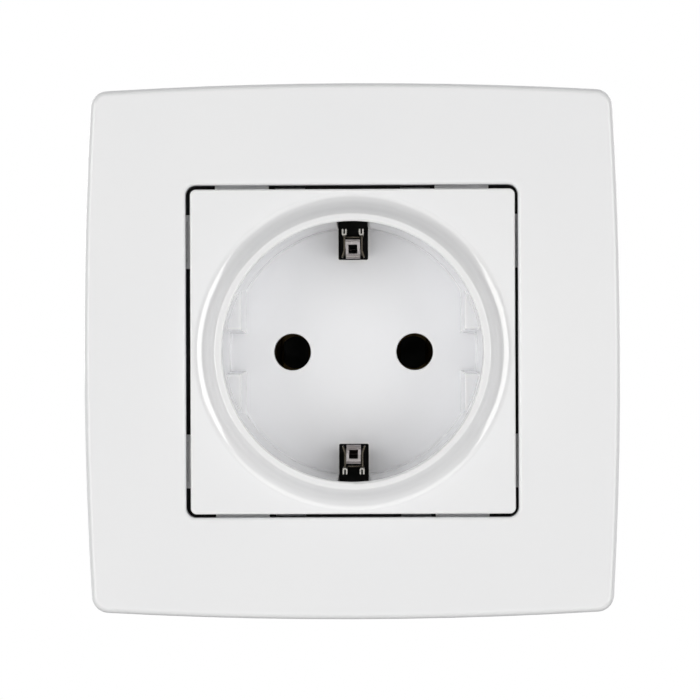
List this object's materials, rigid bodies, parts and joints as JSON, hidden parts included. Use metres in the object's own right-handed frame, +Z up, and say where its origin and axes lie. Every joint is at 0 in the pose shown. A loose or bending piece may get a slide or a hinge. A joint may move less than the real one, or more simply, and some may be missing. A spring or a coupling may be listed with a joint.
{
  "type": "type F wall socket",
  "caption": "Flush wall socket with a round plug recess, pin holes, side earth clips, square centre plate and bulged cover frame; takes a type F mains plug.",
  "frame": {"origin": "on the wall's surface, at the centre of the plug recess and of the wall-box screws", "axes": "+X right, +Z up, +Y into the wall; the front faces -Y"},
  "size_m": [0.0805, 0.0419, 0.0805],
  "materials": {
    "white_plastic": "moulded gloss white",
    "black_thermoset": "moulded matt black",
    "zinc_steel": "zinc plated",
    "contact_brass": "bare brass",
    "spring_steel": "bright spring steel",
    "screw_steel": "zinc plated",
    "plated_earth": "nickel plated",
    "rivet_metal": "bright"
  },
  "bodies": {
    "root": {"cover_frame": "white_plastic", "centre_plate": "white_plastic", "support_plate": "zinc_steel", "contact_base": "black_thermoset", "rear_cap": "black_thermoset", "live_contact": "contact_brass", "neutral_contact": "contact_brass", "live_jaw_spring": "spring_steel", "neutral_jaw_spring": "spring_steel", "live_clamp": "zinc_steel", "neutral_clamp": "zinc_steel", "earth_clamp": "zinc_steel", "live_terminal_screw": "screw_steel", "neutral_terminal_screw": "screw_steel", "earth_terminal_screw": "screw_steel", "earth_yoke": "plated_earth", "earth_clip_spring_upper": "spring_steel", "earth_clip_spring_lower": "spring_steel", "cap_screws": "screw_steel", "plate_rivets": "rivet_metal", "yoke_rivets": "rivet_metal"}
  },
  "joints": []
}
